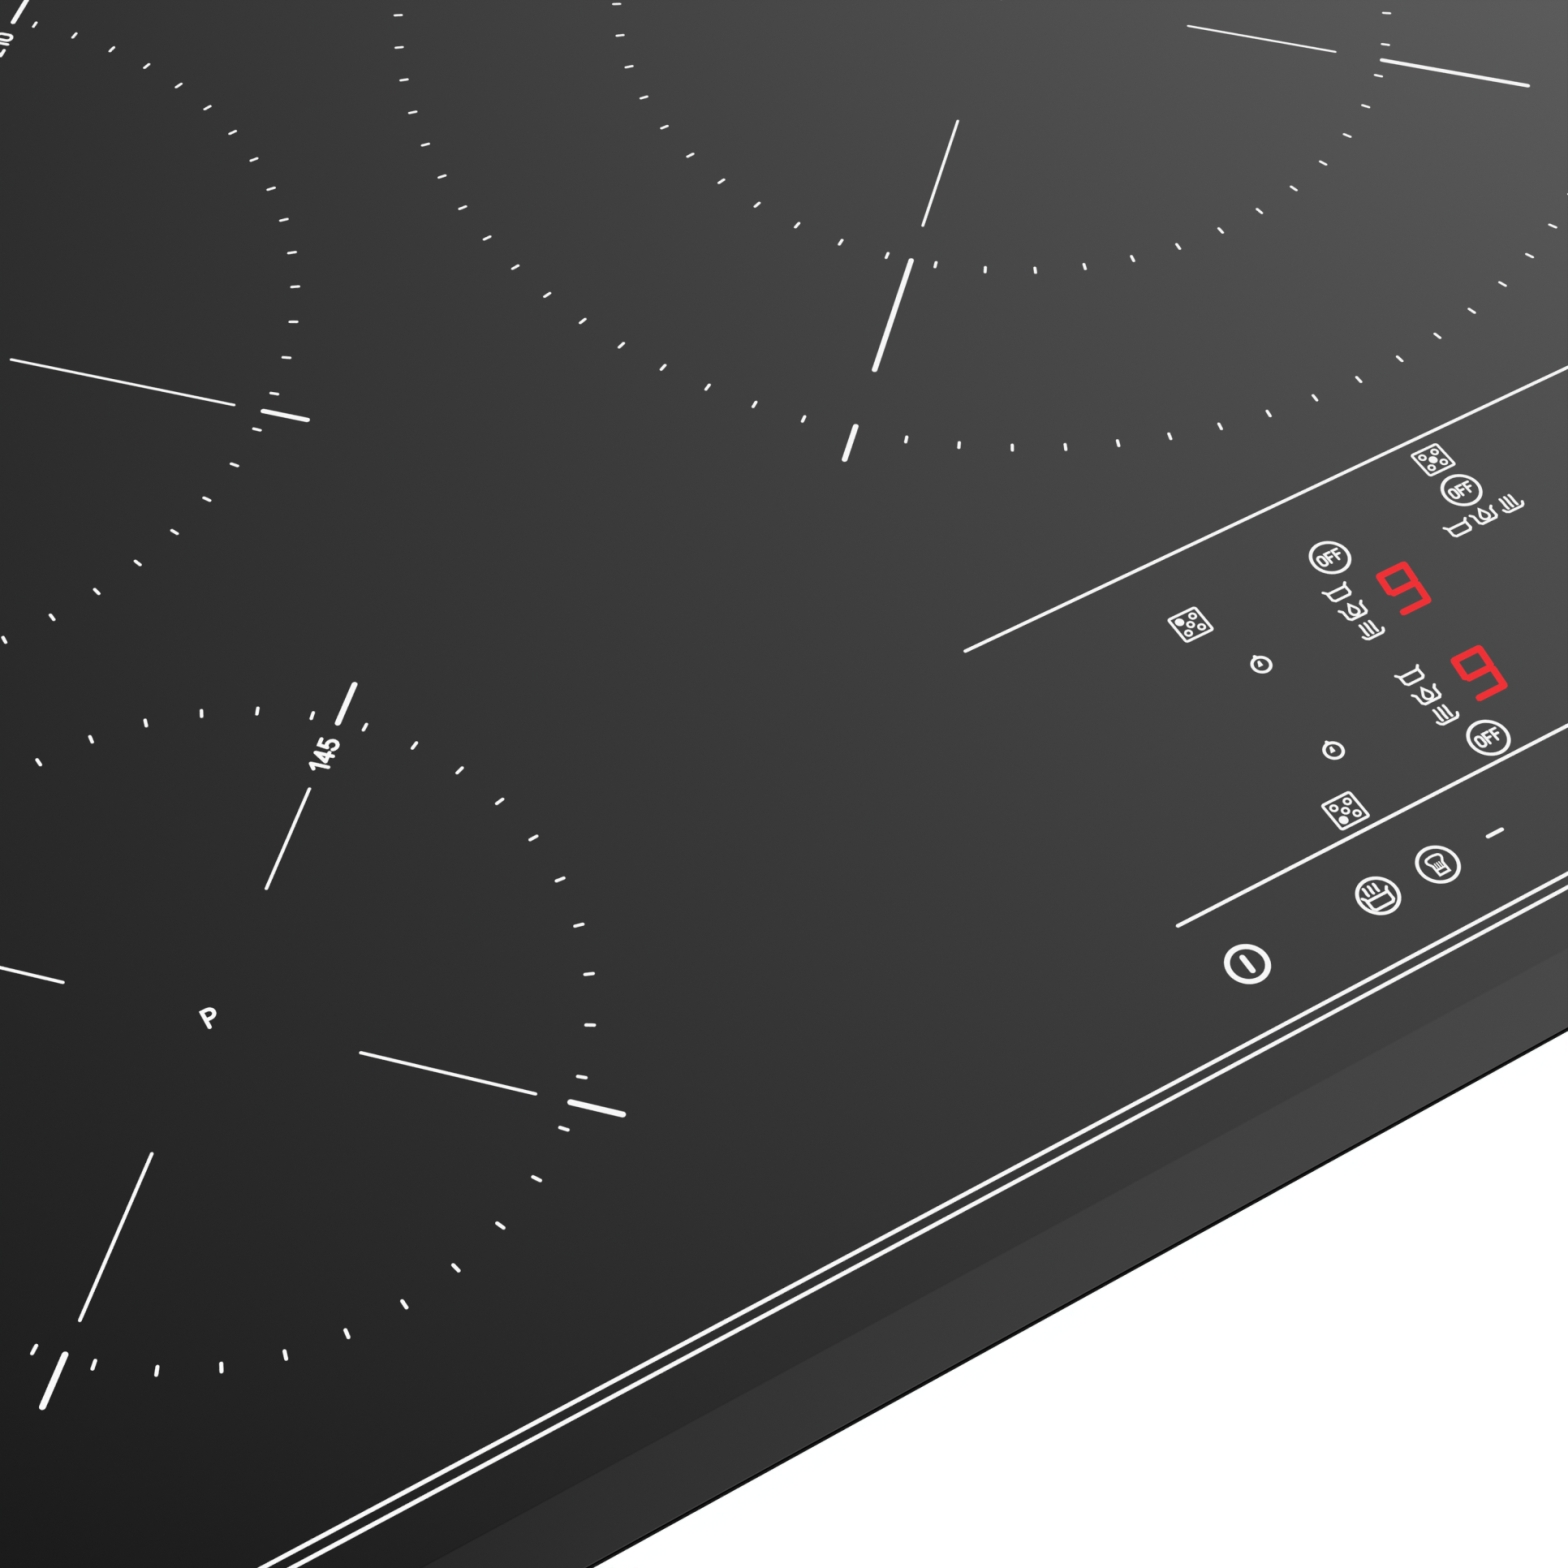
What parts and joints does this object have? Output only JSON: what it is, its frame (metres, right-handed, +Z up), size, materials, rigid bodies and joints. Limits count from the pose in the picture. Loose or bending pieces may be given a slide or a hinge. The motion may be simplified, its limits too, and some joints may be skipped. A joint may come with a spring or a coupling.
{
  "type": "induction cooktop",
  "caption": "Built-in frameless black glass induction cooktop with a bevelled front edge, ringed cooking zones, touch controls and a shallow steel tray.",
  "frame": {"origin": "centre of the glass outline, at the level of the tray's underside", "axes": "+X to the cook's right along the front edge, +Y towards the back of the worktop, +Z up out of the glass"},
  "size_m": [0.86, 0.51, 0.056],
  "materials": {
    "black_ceramic_glass": "polished black glass-ceramic with screen-printed marks",
    "seal_foam": "closed-cell sealing tape",
    "tray_steel": "hot-dip galvanised sheet, spangled",
    "bracket_steel": "zinc-plated sheet",
    "zinc_screw": "bright zinc",
    "shelf_aluminium": "mill finish sheet",
    "coil_copper": "enamelled stranded copper",
    "coil_plastic": "glass-filled moulding with ferrite bars",
    "mica": "pressed mica paper",
    "sensor_silicone": "silicone cap",
    "spring_steel": "rolled spring strip",
    "circuit_board": "solder-masked board with components",
    "heatsink_aluminium": "extruded",
    "black_plastic": "moulded",
    "white_plastic": "moulded",
    "white_enamel_print": "screen-printed ceramic ink",
    "red_display": "lit seven-segment display"
  },
  "bodies": {
    "root": {"glass_top": "black_ceramic_glass", "seal_front": "seal_foam", "seal_back": "seal_foam", "seal_left": "seal_foam", "seal_right": "seal_foam", "bottom_tray": "tray_steel", "glass_bracket_front": "bracket_steel", "glass_bracket_back": "bracket_steel", "glass_bracket_left": "bracket_steel", "glass_bracket_right": "bracket_steel", "tray_screw_front_left": "zinc_screw", "tray_screw_front_right": "zinc_screw", "tray_screw_back_left": "zinc_screw", "tray_screw_back_right": "zinc_screw", "coil_shelf_left": "shelf_aluminium", "coil_shelf_centre": "shelf_aluminium", "coil_shelf_right": "shelf_aluminium", "coil_spring_front_left": "spring_steel", "coil_spring_rear_left": "spring_steel", "coil_spring_centre": "spring_steel", "coil_spring_front_right": "spring_steel", "coil_spring_rear_right": "spring_steel", "power_board_left": "circuit_board", "heatsink_left": "heatsink_aluminium", "fan_housing_left": "black_plastic", "power_board_right": "circuit_board", "heatsink_right": "heatsink_aluminium", "fan_housing_right": "black_plastic", "touch_board_holder": "white_plastic", "touch_board": "circuit_board", "terminal_box": "black_plastic", "terminal_block": "white_plastic"},
    "coil_front_left": {"coil_winding_front_left": "coil_copper", "coil_carrier_front_left": "coil_plastic", "mica_sheet_front_left": "mica", "temperature_sensor_front_left": "sensor_silicone"},
    "coil_rear_left": {"coil_winding_rear_left": "coil_copper", "coil_carrier_rear_left": "coil_plastic", "mica_sheet_rear_left": "mica", "temperature_sensor_rear_left": "sensor_silicone"},
    "coil_centre": {"coil_winding_centre_inner": "coil_copper", "coil_winding_centre_outer": "coil_copper", "coil_carrier_centre": "coil_plastic", "mica_sheet_centre": "mica", "temperature_sensor_centre": "sensor_silicone"},
    "coil_front_right": {"coil_winding_front_right": "coil_copper", "coil_carrier_front_right": "coil_plastic", "mica_sheet_front_right": "mica", "temperature_sensor_front_right": "sensor_silicone"},
    "coil_rear_right": {"coil_winding_rear_right": "coil_copper", "coil_carrier_rear_right": "coil_plastic", "mica_sheet_rear_right": "mica", "temperature_sensor_rear_right": "sensor_silicone"},
    "fan_left": {"fan_impeller_left": "black_plastic"},
    "fan_right": {"fan_impeller_right": "black_plastic"},
    "terminal_flap": {"terminal_cover": "black_plastic"},
    "clip_left_front": {"worktop_clip_left_front": "spring_steel"},
    "clip_left_back": {"worktop_clip_left_back": "spring_steel"},
    "clip_right_front": {"worktop_clip_right_front": "spring_steel"},
    "clip_right_back": {"worktop_clip_right_back": "spring_steel"}
  },
  "joints": [
    {"name": "coil_float_front_left", "type": "slide", "parent": "root", "child": "coil_front_left", "axis": [0, 0, 1], "range_m": [-0.002, 0], "stiffness_N_per_m": 6000, "springref_m": 0.004, "deforming": ["coil_spring_front_left"]},
    {"name": "coil_float_rear_left", "type": "slide", "parent": "root", "child": "coil_rear_left", "axis": [0, 0, 1], "range_m": [-0.002, 0], "stiffness_N_per_m": 6000, "springref_m": 0.004, "deforming": ["coil_spring_rear_left"]},
    {"name": "coil_float_centre", "type": "slide", "parent": "root", "child": "coil_centre", "axis": [0, 0, 1], "range_m": [-0.002, 0], "stiffness_N_per_m": 6000, "springref_m": 0.004, "deforming": ["coil_spring_centre"]},
    {"name": "coil_float_front_right", "type": "slide", "parent": "root", "child": "coil_front_right", "axis": [0, 0, 1], "range_m": [-0.002, 0], "stiffness_N_per_m": 6000, "springref_m": 0.004, "deforming": ["coil_spring_front_right"]},
    {"name": "coil_float_rear_right", "type": "slide", "parent": "root", "child": "coil_rear_right", "axis": [0, 0, 1], "range_m": [-0.002, 0], "stiffness_N_per_m": 6000, "springref_m": 0.004, "deforming": ["coil_spring_rear_right"]},
    {"name": "fan_spin_left", "type": "hinge", "parent": "root", "child": "fan_left", "pos_m": [-0.2, 0.15, 0.016], "axis": [0, 0, 1], "continuous": true},
    {"name": "fan_spin_right", "type": "hinge", "parent": "root", "child": "fan_right", "pos_m": [0.2, 0.15, 0.016], "axis": [0, 0, 1], "continuous": true},
    {"name": "terminal_flap_hinge", "type": "hinge", "parent": "root", "child": "terminal_flap", "pos_m": [0.33, 0.2393, 0.006], "axis": [-1, 0, 0], "range_deg": [0, 90]},
    {"name": "clip_flex_left_front", "type": "hinge", "parent": "root", "child": "clip_left_front", "pos_m": [-0.4107, -0.12, 0.02], "axis": [0, 1, 0], "range_deg": [0, 6], "stiffness_Nm_per_rad": 2.7},
    {"name": "clip_flex_left_back", "type": "hinge", "parent": "root", "child": "clip_left_back", "pos_m": [-0.4107, 0.12, 0.02], "axis": [0, 1, 0], "range_deg": [0, 6], "stiffness_Nm_per_rad": 2.7},
    {"name": "clip_flex_right_front", "type": "hinge", "parent": "root", "child": "clip_right_front", "pos_m": [0.4107, -0.12, 0.02], "axis": [0, -1, 0], "range_deg": [0, 6], "stiffness_Nm_per_rad": 2.7},
    {"name": "clip_flex_right_back", "type": "hinge", "parent": "root", "child": "clip_right_back", "pos_m": [0.4107, 0.12, 0.02], "axis": [0, -1, 0], "range_deg": [0, 6], "stiffness_Nm_per_rad": 2.7}
  ]
}
